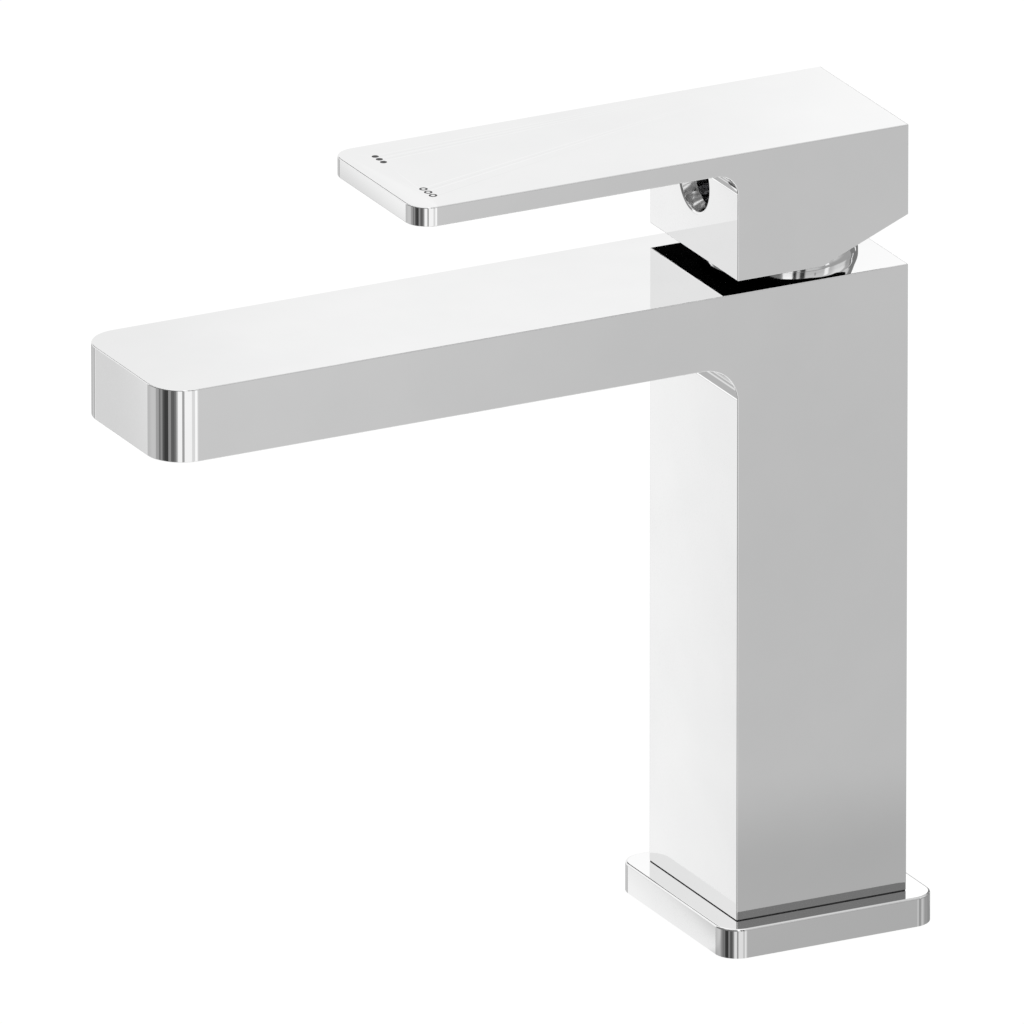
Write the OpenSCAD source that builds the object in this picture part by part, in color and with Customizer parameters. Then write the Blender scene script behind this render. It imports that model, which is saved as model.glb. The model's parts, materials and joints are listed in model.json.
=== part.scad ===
// Single-lever bathroom mixer: a square column on a square base plate, a long flat spout,
// and a block handle with a thin flat lever over a ceramic-disc cartridge.
// The origin is the centre of the base plate's underside and +Z is up.
// The spout and the lever point along -Y. Everything is in millimetres.

/* [Column and base] */
// Side of the square column, and the width of the spout, handle block and lever
column_w = 40; // [40:0.5:43]
// Height of the flat top of the body above the counter
body_top = 146.3; // [135:0.1:180]
// Wall thickness of the hollow body casting
wall = 3; // [2.6:0.1:3]
// Side of the square base plate
base_w = 50; // [48:1:60]
// Thickness of the base plate
base_t = 6.5; // [5:0.5:9]
// Plan radius of the base plate's corners
base_corner_r = 5; // [1:0.5:8]

/* [Spout] */
// Distance from the column's rear face to the spout's tip
spout_reach = 173.5; // [150:0.5:200]
// Thickness of the spout
spout_t = 16; // [16:0.5:20]
// Plan radius of the spout's tip corners
spout_tip_r = 8; // [6:0.5:12]
// Radius of the concave fillet where the spout's underside meets the column
spout_root_r = 8; // [2:0.5:14]
// Distance from the spout's tip back to the aerator's centre
aerator_inset = 19.5; // [18.5:0.5:30]

/* [Handle] */
// Gap between the body's top and the handle block's underside
handle_gap = 2.75; // [2:0.25:4]
// Height of the handle block
handle_h = 28.2; // [27.5:0.1:34]
// Thickness of the flat lever
lever_t = 4.3; // [3.5:0.1:6]
// Distance from the handle block's rear face to the lever's tip
lever_reach = 115; // [90:1:135]
// Plan radius of the lever's tip corners
lever_tip_r = 5; // [2:0.5:8]
// Radius of the concave fillet where the lever's underside meets the block
lever_root_r = 5; // [1:0.5:6]
// How far the block's underside rises towards its rear edge, which leaves room to tilt
rear_rise = 8.3; // [7.5:0.1:9]
// Radius of the round recess in the block's front face
recess_r = 6.75; // [5:0.25:7]
// Depth of that recess
recess_depth = 7.5; // [4:0.25:7.5]
// Radius of the dome under the handle
dome_r = 16.5; // [16.3:0.1:16.8]

/* [Cartridge] */
// Diameter of the ceramic-disc cartridge
cartridge_d = 24.8; // [24.6:0.1:25]
// Full tilt of the lever from shut to fully open, in degrees
lift_angle = 25; // [20:1:26]
// Distance from the tilt pin down to the ball that drives the discs
ball_drop = 9; // [8.6:0.1:9.2]

/* [Hidden] */

$fn = 96;
eps = 0.01;       // overshoot of a cut past a face
lap = 1;          // overlap of two shapes that are joined
slip = 0.1;       // gap of a fit that is put together by hand
half = column_w / 2;

// Body, from the base plate up
joint_t = 0.2;
joint_inset = 0.15;
body_z0 = base_t + joint_t;
cavity_half = half - wall;
ceiling_z = body_top - wall;
spout_z0 = body_top - spout_t;
tip_y = half - spout_reach;
spout_floor_z = spout_z0 + wall;
base_bore_r = 15.5;
collar_half = cavity_half - slip;
collar_z1 = base_t + wall;
gasket_r0 = 19.5;
gasket_r1 = 22;
gasket_t = 1.5;

// Waterway block inside the column
block_half = cavity_half - 2 * slip;
block_z0 = body_top - 58.3;
chamber_z0 = body_top - 34.3;
chamber_r = cartridge_d / 2 + 0.25;
shoulder_z = body_top - 13.3;
nut_bore_r = 13.5;
hose_at = [6, -4];
hose_thread_r = 4.46;       // tapping size of M10 x 1
hose_depth = 10;
stud_at = [0, 9.5];
stud_thread_r = 3.32;       // tapping size of M8 x 1.25
stud_depth = 12;
gallery_z0 = block_z0 + 15.5;
gallery_z1 = gallery_z0 + 5;
gallery_half = block_half - 2.3;
gallery_w = 5;
riser_at = block_half - 4.2;
riser_r = 2.5;
riser_top = spout_floor_z + 6.2;
seal_w = 1.6;
seal_z0 = block_z0 + 3;
seal_z1 = seal_z0 + 2.5;
neck_seal_r = 15.15;

// Cartridge ports, on the chamber's floor
inlet_at = [4.2, -3.4];
inlet_r = 1.9;
outlet_at = [0, 3.6];
outlet_r = 2.2;
o_ring_r = 0.5;
o_ring_gap = 0.05;
inlet_seal_r = inlet_r + 0.85;
outlet_seal_r = outlet_r + 0.9;
peg_at = [9.6, 2];
peg_r = 1.2;
peg_l = 2;

// Cartridge, stacked up from the chamber's floor
cartridge_r = cartridge_d / 2;
cup_r = cartridge_r - 0.8;
base_top_z = chamber_z0 + 6;
fixed_disc_z = base_top_z + 3;
moving_disc_z = fixed_disc_z + 3.5;
carrier_z = moving_disc_z + 4.4;
rotor_z0 = carrier_z + 0.3;
roof_z = rotor_z0 + 2.2;
flange_z1 = shoulder_z + 2;
flange_r = 13.2;
neck_r = 9.4;
neck_z1 = body_top + 1.7;
rotor_r = 7.9;
rotor_bore_r = 7.97;
rotor_hole_r = 6.6;
rotor_flange_r = 9.3;
rotor_top = body_top + 2.7;
fixed_disc_r = cup_r - slip;
moving_disc_r = 9.2;
carrier_flat = 8.6;
post_r = 4;

// Tilt pin, spindle and ball
pivot_z = body_top - 2;
pin_r = 1.5;
pin_l = 15.4;
spindle_half = 3.5;
spindle_top = pivot_z + 26.7;
slot_half = spindle_half + 0.15;
slot_z0 = pivot_z - 6.1;
arm_r = 1.7;
ball_r = 2.6;
rest_tilt = lift_angle / 2;
ball_y = ball_drop * sin(rest_tilt);
ball_z = pivot_z - ball_drop * cos(rest_tilt);

// Retaining nut and dome
nut_r = 13.4;
nut_hole_r = neck_r + 0.2;
nut_z1 = body_top + 3.7;
dome_wall = 1.2;
dome_skirt = 1;
dome_bore_z1 = nut_z1 + 0.5;
dome_hole_r = 11.5;
dome_seal_r = 14.9;

// Handle
handle_z0 = body_top + handle_gap;
handle_z1 = handle_z0 + handle_h;
lever_z0 = handle_z1 - lever_t;
lever_tip_y = half - lever_reach;
recess_z = handle_z0 + 15.85;
recess_chamfer = 0.5;
recess_mouth = 3.2;
recess_floor_r = recess_r - 1.2;
dome_clearance = 0.8;
screw_r = 2.5;
screw_y0 = -half + recess_depth + 1;
mark_depth = 0.25;
mark_y = lever_tip_y + 7.2;
mark_x = 11.2;
dot_r = 0.75;
dot_pitch = 1.9;
ring_r = 0.9;
ring_hole_r = 0.45;

// Aerator, in a boss under the spout's tip
aerator_y = tip_y + aerator_inset;
aerator_r = 12;
boss_r = 14.5;
cup_z0 = spout_z0 + 0.3;
cup_z1 = spout_z0 + 7.3;
washer_z1 = cup_z1 + 1;
boss_z1 = washer_z1 + 1.2;
filter_r = 10.4;
lip_r = 9.4;
lip_t = 1.2;
grid_z1 = cup_z0 + lip_t + 1.4;
insert_z1 = grid_z1 + 1.8;
regulator_z1 = insert_z1 + 1.4;
screen_z1 = regulator_z1 + 0.8;

// Colours
chrome = [0.78, 0.80, 0.82];
brass = [0.78, 0.62, 0.30];
rubber = [0.12, 0.12, 0.13];
plastic = [0.92, 0.92, 0.88];
ceramic = [0.97, 0.97, 0.95];
steel = [0.62, 0.64, 0.66];
ink = [0.20, 0.20, 0.21];

// ---- Shared shapes ----

// A block centred on x = 0
module slab(half_x, y0, y1, z0, z1) {
    translate([-half_x, y0, z0]) cube([2 * half_x, y1 - y0, z1 - z0]);
}

// An upright cylinder between two heights
module drum(r, z0, z1) {
    translate([0, 0, z0]) cylinder(r = r, h = z1 - z0);
}

// An upright ring between two heights
module ring(outer_r, inner_r, z0, z1) {
    difference() {
        drum(outer_r, z0, z1);
        drum(inner_r, z0 - eps, z1 + eps);
    }
}

// A round-section ring that lies flat, centred at height z
module o_ring(mean_r, z) {
    translate([0, 0, z]) rotate_extrude() translate([mean_r, 0]) circle(r = o_ring_r);
}

// The groove that such a ring lies in, from z0 to z1
module o_ring_groove(mean_r, z0, z1) {
    seat = o_ring_r + o_ring_gap;
    ring(mean_r + seat, mean_r - seat, z0, z1);
}

// Plan of a square with rounded corners
module rounded_square(side, r) {
    square([side - 2 * r, side], center = true);
    square([side, side - 2 * r], center = true);
    for (x = [-1, 1], y = [-1, 1]) {
        translate([x, y] * (side / 2 - r)) circle(r = r);
    }
}

// Plan of a bar whose two corners at the tip are rounded
module tipped_bar(half_w, y_tip, y_back, r) {
    translate([-half_w, y_tip + r]) square([2 * half_w, y_back - y_tip - r]);
    translate([r - half_w, y_tip]) square([2 * (half_w - r), 2 * r]);
    for (side = [-1, 1]) {
        translate([side * (half_w - r), y_tip + r]) circle(r = r);
    }
}

// A YZ outline given as children, drawn full width and centred on x = 0
module across(half_w) {
    translate([-half_w, 0, 0]) rotate([90, 0, 90]) linear_extrude(height = 2 * half_w) children();
}

// Concave fillet in the corner between a wall facing -Y and an overhang above it
module root_fillet(half_w, y, z, r) {
    across(half_w) difference() {
        translate([y - r, z - r]) square(r + lap);
        translate([y - r, z - r]) circle(r = r);
    }
}

// Children placed at both inlets, then at the outlet
module at_inlets() {
    for (side = [-1, 1]) {
        translate([side * inlet_at[0], inlet_at[1], 0]) children();
    }
}
module at_outlet() {
    translate([outlet_at[0], outlet_at[1], 0]) children();
}

// The three water passages through a disc between two heights
module ports(z0, z1) {
    at_inlets() drum(inlet_r, z0 - eps, z1 + eps);
    at_outlet() drum(outlet_r, z0 - eps, z1 + eps);
}

// ---- Body ----

module base_plate() {
    color(chrome) difference() {
        union() {
            linear_extrude(height = base_t) rounded_square(base_w, base_corner_r);
            slab(collar_half, -collar_half, collar_half, base_t - lap, collar_z1);
        }
        drum(base_bore_r, -eps, collar_z1 + eps);
        ring(gasket_r1 + o_ring_gap, gasket_r0 - o_ring_gap, -eps, gasket_t);
    }
}

module deck_gasket() {
    color(rubber) ring(gasket_r1, gasket_r0, 0, gasket_t);
}

module body_gasket() {
    outer = half - joint_inset;
    color(rubber) difference() {
        slab(outer, -outer, outer, base_t, body_z0);
        slab(cavity_half, -cavity_half, cavity_half, base_t - eps, body_z0 + eps);
    }
}

module body_outside() {
    slab(half, -half, half, body_z0, body_top);
    translate([0, 0, spout_z0]) linear_extrude(height = spout_t)
        tipped_bar(half, tip_y, half, spout_tip_r);
    root_fillet(half, -half, spout_z0, spout_root_r);
}

module body_hollow() {
    slab(cavity_half, -cavity_half, cavity_half, body_z0 - eps, ceiling_z);
    translate([0, 0, spout_floor_z]) linear_extrude(height = ceiling_z - spout_floor_z)
        tipped_bar(cavity_half, tip_y + wall, -cavity_half + lap, spout_tip_r - wall);
}

module body_shell() {
    color(chrome) difference() {
        union() {
            difference() {
                body_outside();
                body_hollow();
            }
            translate([0, aerator_y, 0]) drum(boss_r, spout_floor_z - lap, boss_z1);
        }
        drum(nut_bore_r + slip, ceiling_z - eps, body_top + eps);
        translate([0, aerator_y, 0]) drum(aerator_r, spout_z0 - eps, washer_z1);
        translate([0, aerator_y, 0]) drum(lip_r, washer_z1 - eps, boss_z1 + eps);
    }
}

// The mixed water's way from the outlet, round both sides and up to the spout
module gallery() {
    slab(gallery_half, 1, 9, gallery_z0, gallery_z1);
    at_outlet() drum(outlet_r, gallery_z0 + eps, chamber_z0 + eps);
    for (side = [-1, 1]) {
        translate([side * (gallery_half - gallery_w / 2), 0, 0])
            slab(gallery_w / 2, -gallery_half, 2, gallery_z0, gallery_z1);
        translate([side * riser_at, -riser_at, 0]) drum(riser_r, gallery_z0 + eps, riser_top);
        translate([side * riser_at, -riser_at, riser_top - riser_r])
            rotate([90, 0, 0]) cylinder(r = riser_r, h = half);
    }
}

module waterway_block() {
    groove_half = block_half - seal_w + slip;
    color(brass) difference() {
        slab(block_half, -block_half, block_half, block_z0, ceiling_z);
        drum(chamber_r, chamber_z0, ceiling_z);
        drum(nut_bore_r, shoulder_z, ceiling_z + eps);
        gallery();
        at_inlets() drum(inlet_r, block_z0 + hose_depth - eps, chamber_z0 + eps);
        for (side = [-1, 1]) {
            translate([side * hose_at[0], hose_at[1], 0])
                drum(hose_thread_r, block_z0 - eps, block_z0 + hose_depth);
            translate([side * peg_at[0], peg_at[1], 0])
                drum(peg_r + slip / 2, chamber_z0 - peg_l - slip, chamber_z0 + eps);
        }
        translate([stud_at[0], stud_at[1], 0]) drum(stud_thread_r, block_z0 - eps, block_z0 + stud_depth);
        o_ring_groove(neck_seal_r, ceiling_z - 2 * o_ring_r, ceiling_z + eps);
        difference() {
            slab(half, -half, half, seal_z0, seal_z1);
            slab(groove_half, -groove_half, groove_half, seal_z0 - eps, seal_z1 + eps);
        }
    }
}

module block_seal() {
    inner = block_half - seal_w + slip;
    color(rubber) difference() {
        slab(cavity_half, -cavity_half, cavity_half, seal_z0, seal_z1);
        slab(inner, -inner, inner, seal_z0 - eps, seal_z1 + eps);
    }
}

module neck_seal() {
    color(rubber) o_ring(neck_seal_r, ceiling_z - o_ring_r);
}

// ---- Cartridge, fixed pieces ----

module cartridge_base() {
    color(plastic) difference() {
        union() {
            drum(cartridge_r, chamber_z0, base_top_z);
            for (side = [-1, 1]) {
                translate([side * peg_at[0], peg_at[1], 0]) drum(peg_r, chamber_z0 - peg_l, chamber_z0 + lap);
            }
        }
        ports(chamber_z0, base_top_z);
        for (z = [chamber_z0, base_top_z - 2 * o_ring_r]) {
            at_inlets() o_ring_groove(inlet_seal_r, z - eps, z + 2 * o_ring_r + eps);
            at_outlet() o_ring_groove(outlet_seal_r, z - eps, z + 2 * o_ring_r + eps);
        }
    }
}

module port_seals() {
    color(rubber) for (z = [chamber_z0 + o_ring_r, base_top_z - o_ring_r]) {
        at_inlets() o_ring(inlet_seal_r, z);
        at_outlet() o_ring(outlet_seal_r, z);
    }
}

module fixed_disc() {
    color(ceramic) difference() {
        drum(fixed_disc_r, base_top_z, fixed_disc_z);
        ports(base_top_z, fixed_disc_z);
    }
}

module cartridge_housing() {
    color(plastic) difference() {
        union() {
            drum(cartridge_r, base_top_z, shoulder_z + eps);
            drum(flange_r, shoulder_z, flange_z1);
            drum(neck_r, flange_z1 - lap, neck_z1);
        }
        drum(cup_r, base_top_z - eps, roof_z);
        drum(rotor_bore_r, roof_z - eps, neck_z1 + eps);
    }
}

module retaining_nut() {
    drive_w = 3;
    drive_depth = 2;
    color(brass) difference() {
        ring(nut_r, nut_hole_r, flange_z1, nut_z1);
        for (turn = [0, 90]) {
            rotate(turn) slab(drive_w / 2, -column_w, column_w, nut_z1 - drive_depth, nut_z1 + eps);
        }
    }
}

module dome_cap() {
    color(chrome) difference() {
        union() {
            intersection() {
                translate([0, 0, pivot_z]) sphere(r = dome_r);
                drum(half, body_top, pivot_z + dome_r);
            }
            drum(dome_r, body_top, body_top + dome_skirt);
        }
        drum(nut_bore_r, body_top - eps, dome_bore_z1);
        drum(dome_hole_r, body_top, pivot_z + dome_r + eps);
        intersection() {
            translate([0, 0, pivot_z]) sphere(r = dome_r - dome_wall);
            drum(half, dome_bore_z1 - eps, pivot_z + dome_r);
        }
        o_ring_groove(dome_seal_r, body_top - eps, body_top + 2 * o_ring_r);
    }
}

module dome_seal() {
    color(rubber) o_ring(dome_seal_r, body_top + o_ring_r);
}

// ---- Aerator ----

// Round holes on a triangular grid, out to a radius
module hole_field(pitch, hole_r, field_r, z0, z1) {
    rows = floor(field_r / (pitch * sin(60)));
    for (row = [-rows:rows]) {
        y = row * pitch * sin(60);
        shift = (abs(row) % 2) * pitch / 2;
        reach = floor((sqrt(field_r * field_r - y * y) - shift) / pitch);
        for (k = [-reach - 2 * shift / pitch:reach]) {
            translate([k * pitch + shift, y, 0]) drum(hole_r, z0 - eps, z1 + eps);
        }
    }
}

module aerator_housing() {
    notch_w = 2.4;
    translate([0, aerator_y, 0]) color(chrome) difference() {
        drum(aerator_r - slip / 2, cup_z0, cup_z1);
        drum(filter_r + slip / 2, cup_z0 + lip_t, cup_z1 + eps);
        drum(lip_r, cup_z0 - eps, cup_z1);
        slab(notch_w / 2, -aerator_r, aerator_r, cup_z0 - eps, cup_z0 + 0.7);
    }
}

module aerator_washer() {
    translate([0, aerator_y, 0]) color(rubber) ring(aerator_r - slip, lip_r + 0.2, cup_z1, washer_z1);
}

module aerator_screen() {
    translate([0, aerator_y, 0]) color(steel) difference() {
        drum(filter_r, regulator_z1, screen_z1);
        hole_field(1.9, 0.6, 9, regulator_z1, screen_z1);
    }
}

module flow_regulator() {
    holes = 12;
    translate([0, aerator_y, 0]) color(plastic) difference() {
        drum(filter_r, insert_z1, regulator_z1);
        for (k = [0:holes - 1]) {
            rotate(k * 360 / holes) translate([7.4, 0, 0]) drum(1, insert_z1 - eps, regulator_z1 + eps);
        }
        ring(5, 3.4, regulator_z1 - 0.7, regulator_z1 + eps);
    }
}

module aerator_insert() {
    vanes = 8;
    translate([0, aerator_y, 0]) color(plastic) {
        ring(filter_r, filter_r - 1.2, grid_z1, insert_z1);
        ring(3.2, 1.6, grid_z1, insert_z1);
        for (k = [0:vanes - 1]) {
            rotate(k * 360 / vanes) translate([2.8, -0.4, grid_z1]) cube([6.8, 0.8, insert_z1 - grid_z1]);
        }
    }
}

module aerator_grid() {
    translate([0, aerator_y, 0]) color(plastic) difference() {
        drum(filter_r, cup_z0 + lip_t, grid_z1);
        hole_field(2.2, 0.9, 9, cup_z0 + lip_t, grid_z1);
    }
}

// ---- Cartridge, pieces that turn and slide ----

module cartridge_rotor() {
    lug_r = 10.6;
    lug_half = 4;
    seal_z = shoulder_z + 1;
    color(plastic) difference() {
        union() {
            drum(rotor_r, rotor_z0, rotor_top);
            drum(rotor_flange_r, rotor_z0, roof_z - slip);
            difference() {
                slab(lug_r, -lug_half, lug_half, moving_disc_z + 0.3, roof_z - slip);
                slab(carrier_flat + 0.15, -half, half, moving_disc_z, rotor_z0);
            }
        }
        drum(rotor_hole_r, rotor_z0 - eps, slot_z0);
        slab(slot_half, -half, half, slot_z0 - eps, rotor_top + eps);
        translate([-half, 0, pivot_z]) rotate([0, 90, 0]) cylinder(r = pin_r + 0.02, h = column_w);
        ring(rotor_r + lap, rotor_r - 0.8, seal_z - 0.45, seal_z + 0.45);
    }
}

module rotor_seal() {
    section_r = 0.4;
    color(rubber) translate([0, 0, shoulder_z + 1])
        rotate_extrude() translate([rotor_bore_r - 0.02 - section_r, 0]) circle(r = section_r);
}

module spindle_pin() {
    color(steel) translate([-pin_l / 2, 0, pivot_z]) rotate([0, 90, 0]) cylinder(r = pin_r, h = pin_l);
}

module moving_disc() {
    recess_half = 5.6;
    translate([0, ball_y, 0]) color(ceramic) difference() {
        drum(moving_disc_r, fixed_disc_z, moving_disc_z);
        slab(recess_half, -2.7, 5.7, fixed_disc_z - eps, fixed_disc_z + 1.5);
        for (side = [-1, 1]) {
            translate([side * 7, 0, 0]) drum(1.05, moving_disc_z - 1.3, moving_disc_z + eps);
        }
    }
}

module disc_carrier() {
    translate([0, ball_y, 0]) color(plastic) difference() {
        union() {
            intersection() {
                drum(moving_disc_r, moving_disc_z, carrier_z);
                slab(carrier_flat, -half, half, moving_disc_z, carrier_z);
            }
            drum(post_r, carrier_z - lap, pivot_z - 6.8);
            for (side = [-1, 1]) {
                translate([side * 7, 0, 0]) drum(1, moving_disc_z - 1.2, moving_disc_z + lap);
            }
        }
        drum(ball_r + 0.08, pivot_z - 11.9, pivot_z);
    }
}

// ---- Lever ----

module spindle() {
    color(brass) difference() {
        union() {
            slab(spindle_half, -spindle_half, spindle_half, pivot_z - spindle_half, spindle_top);
            translate([0, 0, pivot_z]) rotate([rest_tilt, 0, 0]) translate([0, 0, -ball_drop])
                cylinder(r = arm_r, h = ball_drop - spindle_half + lap);
            translate([0, ball_y, ball_z]) sphere(r = ball_r);
        }
        translate([-half, 0, pivot_z]) rotate([0, 90, 0]) cylinder(r = pin_r + 0.04, h = column_w);
    }
}

// Side outline of the handle block, with the slope under its rear half
module block_outline() {
    polygon([
        [-half, handle_z0], [0, handle_z0], [half, handle_z0 + rear_rise],
        [half, handle_z1], [-half, handle_z1]
    ]);
}

// Dots in a row, for the mark on the hot side
module hot_dots(z0, z1) {
    for (k = [-1:1]) {
        translate([k * dot_pitch - mark_x, mark_y, 0]) drum(dot_r, z0, z1);
    }
}

// Rings in a row, for the mark on the cold side
module cold_rings(z0, z1) {
    for (k = [-1:1]) {
        translate([k * 1.15 * dot_pitch + mark_x, mark_y, 0]) ring(ring_r, ring_hole_r, z0, z1);
    }
}

module handle() {
    fit = spindle_half + slip / 2;
    front = -half;
    color(chrome) difference() {
        union() {
            across(half) block_outline();
            translate([0, 0, lever_z0]) linear_extrude(height = lever_t)
                tipped_bar(half, lever_tip_y, half, lever_tip_r);
            root_fillet(half, front, lever_z0, lever_root_r);
        }
        translate([0, 0, pivot_z]) sphere(r = dome_r + dome_clearance);
        slab(fit, -fit, fit, pivot_z, spindle_top + 0.5);
        translate([0, front - eps, recess_z]) rotate([-90, 0, 0]) {
            cylinder(r = recess_floor_r, h = recess_depth + eps);
            cylinder(r1 = recess_r, r2 = recess_floor_r, h = recess_mouth + eps);
            cylinder(r1 = recess_r + recess_chamfer, r2 = recess_r - 0.1, h = recess_chamfer);
            // Through the fillet, which stands in front of the recess's upper half
            translate([0, 0, -lever_root_r]) cylinder(r = recess_r + recess_chamfer, h = lever_root_r + eps);
            cylinder(r = screw_r + slip / 2, h = half);
        }
        hot_dots(handle_z1 - mark_depth, handle_z1 + eps);
        cold_rings(handle_z1 - mark_depth, handle_z1 + eps);
    }
}

module grub_screw() {
    key_r = 1.44;
    key_depth = 2.8;
    color(steel) translate([0, screw_y0, recess_z]) rotate([-90, 0, 0]) difference() {
        cylinder(r = screw_r, h = -spindle_half - screw_y0);
        translate([0, 0, -eps]) cylinder(r = key_r, h = key_depth, $fn = 6);
    }
}

module hot_mark() {
    color(ink) hot_dots(handle_z1 - mark_depth, handle_z1);
}

module cold_mark() {
    color(ink) cold_rings(handle_z1 - mark_depth, handle_z1);
}

base_plate();
deck_gasket();
body_gasket();
body_shell();
waterway_block();
block_seal();
neck_seal();
cartridge_base();
port_seals();
fixed_disc();
cartridge_housing();
retaining_nut();
dome_cap();
dome_seal();
aerator_housing();
aerator_washer();
aerator_screen();
flow_regulator();
aerator_insert();
aerator_grid();
cartridge_rotor();
rotor_seal();
spindle_pin();
moving_disc();
disc_carrier();
spindle();
handle();
grub_screw();
hot_mark();
cold_mark();
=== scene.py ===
"""Looks of the single-lever bathroom mixer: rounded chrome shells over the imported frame."""

import json
import math

import bmesh
import bpy
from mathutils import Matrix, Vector


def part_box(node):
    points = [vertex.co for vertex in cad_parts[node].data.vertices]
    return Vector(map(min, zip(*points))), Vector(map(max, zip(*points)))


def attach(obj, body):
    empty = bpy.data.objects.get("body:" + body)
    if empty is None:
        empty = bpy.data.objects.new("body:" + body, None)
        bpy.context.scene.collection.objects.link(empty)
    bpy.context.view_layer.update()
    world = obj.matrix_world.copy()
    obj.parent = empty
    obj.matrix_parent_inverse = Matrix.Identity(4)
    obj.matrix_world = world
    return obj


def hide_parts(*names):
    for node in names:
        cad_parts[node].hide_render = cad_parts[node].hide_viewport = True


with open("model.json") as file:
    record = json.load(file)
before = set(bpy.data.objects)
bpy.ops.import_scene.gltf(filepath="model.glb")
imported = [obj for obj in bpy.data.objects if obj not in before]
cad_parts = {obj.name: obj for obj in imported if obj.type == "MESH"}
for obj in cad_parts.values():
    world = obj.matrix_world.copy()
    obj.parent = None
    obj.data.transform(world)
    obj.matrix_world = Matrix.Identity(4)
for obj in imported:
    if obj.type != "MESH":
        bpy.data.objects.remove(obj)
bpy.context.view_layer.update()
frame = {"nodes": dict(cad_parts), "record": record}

MM = 0.001
UM = 0.001 * MM

# ---- Sizes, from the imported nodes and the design's own dimensions ----

shell_low, shell_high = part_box("body_shell")
plate_low, plate_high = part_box("base_plate")
handle_low, handle_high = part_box("handle")
dome_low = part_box("dome_cap")[0]
gasket_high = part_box("deck_gasket")[1]
aerator_low, aerator_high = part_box("aerator_housing")

HALF = shell_high.x
WALL = 3 * MM
SPOUT_T = 16 * MM
SPOUT_TIP_R = 8 * MM
SPOUT_ROOT_R = 8 * MM
LEVER_T = 4.3 * MM
LEVER_TIP_R = 5 * MM
LEVER_ROOT_R = 5 * MM
REAR_RISE = 8.3 * MM
PLATE_T = 6.5 * MM
PLATE_CORNER_R = 5 * MM
PLATE_BORE_R = 15.5 * MM
COLLAR_PLAY = 0.1 * MM
GASKET_W = 2.5 * MM
GASKET_PLAY = 0.05 * MM
RECESS_R = 6.75 * MM
RECESS_DEPTH = 7.5 * MM
RECESS_MOUTH = 3.2 * MM
RECESS_FLOOR_R = RECESS_R - 1.2 * MM
RECESS_Z = handle_low.z + 15.85 * MM
RECESS_RIM = 0.6 * MM
RECESS_BLEND = 0.12 * MM
NUT_BORE_R = 13.5 * MM
NECK_R = NUT_BORE_R + 0.1 * MM
DOME_R = 16.5 * MM
DOME_WALL = 1.2 * MM
DOME_SKIRT = 1 * MM
DOME_SHOULDER = 3 * MM
DOME_STEP = 4.2 * MM
DOME_HOLE_R = 11.5 * MM
PIVOT_Z = shell_high.z - 2 * MM
HANDLE_CLEARANCE = 0.8 * MM
SOCKET_HALF = 3.55 * MM
SOCKET_TOP = PIVOT_Z + 27.2 * MM
SCREW_HOLE_R = 2.55 * MM
AERATOR_R = 12 * MM
AERATOR_RIM = 0.4 * MM
LIP_R = 9.4 * MM
LIP_T = 1.2 * MM
LIP_GAP = 1 * MM
BOSS_R = 14.5 * MM
MARK_DEPTH = 0.25 * MM
EDGE_R = 0.2 * MM
PLATE_EDGE_R = 0.45 * MM
OVERSHOOT = 1 * MM
WELD = 0.002 * MM
ARC_STEPS = 20
LATHE_STEPS = 160

# ---- Mesh helpers ----


def arc(centre, radius, start_deg, end_deg, steps=ARC_STEPS):
    """Points along an arc, both ends included."""
    turn = math.radians(end_deg - start_deg) / steps
    first = math.radians(start_deg)
    return [
        (
            centre[0] + radius * math.cos(first + k * turn),
            centre[1] + radius * math.sin(first + k * turn),
        )
        for k in range(steps + 1)
    ]


def new_object(name, bm):
    """An object from a bmesh, with its faces turned outwards."""
    bmesh.ops.recalc_face_normals(bm, faces=bm.faces)
    mesh = bpy.data.meshes.new(name)
    bm.to_mesh(mesh)
    bm.free()
    obj = bpy.data.objects.new(name, mesh)
    bpy.context.scene.collection.objects.link(obj)
    return obj


def prism(name, outline, axis, low, high):
    """A closed prism: an XY outline drawn up Z, or a YZ outline drawn along X."""
    place = {
        "Z": lambda a, b, along: (a, b, along),
        "X": lambda a, b, along: (along, a, b),
    }[axis]
    bm = bmesh.new()
    ends = [[bm.verts.new(place(a, b, along)) for a, b in outline] for along in (low, high)]
    bm.faces.new(ends[0])
    bm.faces.new(ends[1])
    count = len(outline)
    for k in range(count):
        after = (k + 1) % count
        bm.faces.new((ends[0][k], ends[0][after], ends[1][after], ends[1][k]))
    return new_object(name, bm)


def lathe(name, profile, centre, axis="Z", steps=LATHE_STEPS):
    """A closed turned solid: (radius, height) points spun about an axis through centre."""
    along = {"Z": Vector((0, 0, 1)), "Y": Vector((0, 1, 0))}[axis]
    side = Vector((1, 0, 0))
    other = along.cross(side)
    bm = bmesh.new()
    rings = []
    for radius, height in profile:
        middle = Vector(centre) + along * height
        if radius < 1e-7:
            rings.append([bm.verts.new(middle)])
            continue
        ring = []
        for k in range(steps):
            turn = 2 * math.pi * k / steps
            out = side * math.cos(turn) + other * math.sin(turn)
            ring.append(bm.verts.new(middle + out * radius))
        rings.append(ring)
    for lower, upper in zip(rings, rings[1:] + rings[:1]):
        if len(lower) == 1 and len(upper) == 1:
            continue
        for k in range(steps):
            after = (k + 1) % steps
            corners = [lower[k % len(lower)], lower[after % len(lower)]]
            corners += [upper[after % len(upper)], upper[k % len(upper)]]
            bm.faces.new(list(dict.fromkeys(corners)))
    return new_object(name, bm)


def drum(name, centre, radius, low, high, axis="Z", steps=LATHE_STEPS):
    """A plain cylinder, as a tool for cutting and joining."""
    profile = [(0, low), (radius, low), (radius, high), (0, high)]
    return lathe(name, profile, centre, axis, steps)


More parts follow.
